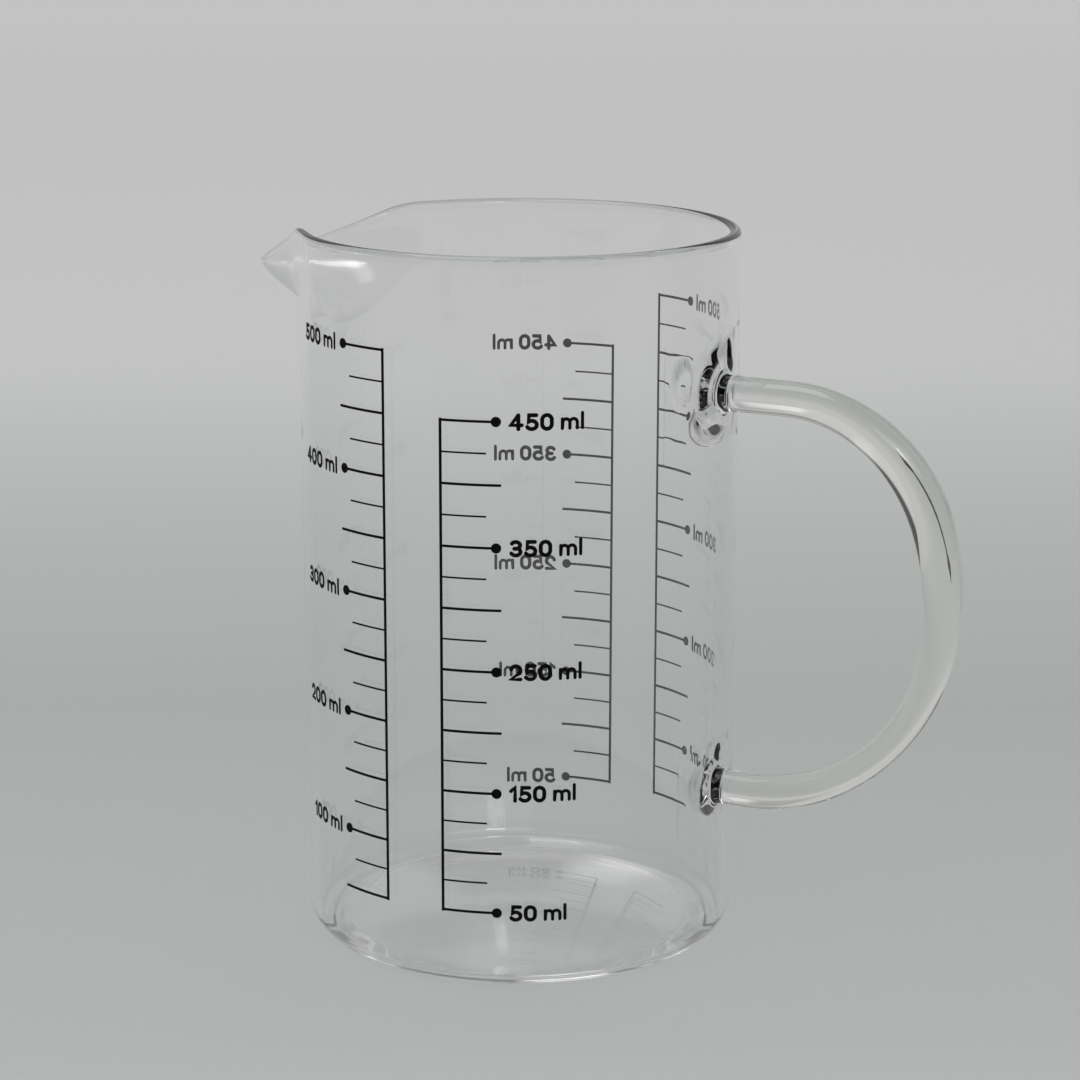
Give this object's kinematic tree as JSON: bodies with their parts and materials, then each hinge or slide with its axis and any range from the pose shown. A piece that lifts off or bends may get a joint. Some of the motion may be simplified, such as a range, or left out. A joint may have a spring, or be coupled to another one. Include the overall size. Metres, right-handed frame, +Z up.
{
  "type": "measuring jug",
  "caption": "Straight-sided clear glass measuring jug with a pointed pressed spout, a bent solid-rod handle fused at two welds and printed millilitre scales on both sides.",
  "frame": {"origin": "centre of the foot ring, on the table that the jug stands on", "axes": "+Z up along the jug's axis, +X towards the handle, -X towards the spout, the front scales face -Y"},
  "size_m": [0.1425, 0.0802, 0.1323],
  "materials": {
    "clear_glass": "clear fire-polished borosilicate glass",
    "rod_glass": "clear solid glass rod, drawn by hand",
    "weld_glass": "clear glass, rippled where it was melted together",
    "black_enamel": "thin fired-on black enamel, slightly glossy"
  },
  "bodies": {
    "root": {"glass_body": "clear_glass", "handle_rod": "rod_glass", "upper_weld": "weld_glass", "lower_weld": "weld_glass", "front_scale_500": "black_enamel", "front_scale_450": "black_enamel", "rear_scale_500": "black_enamel", "rear_scale_450": "black_enamel"}
  },
  "joints": []
}
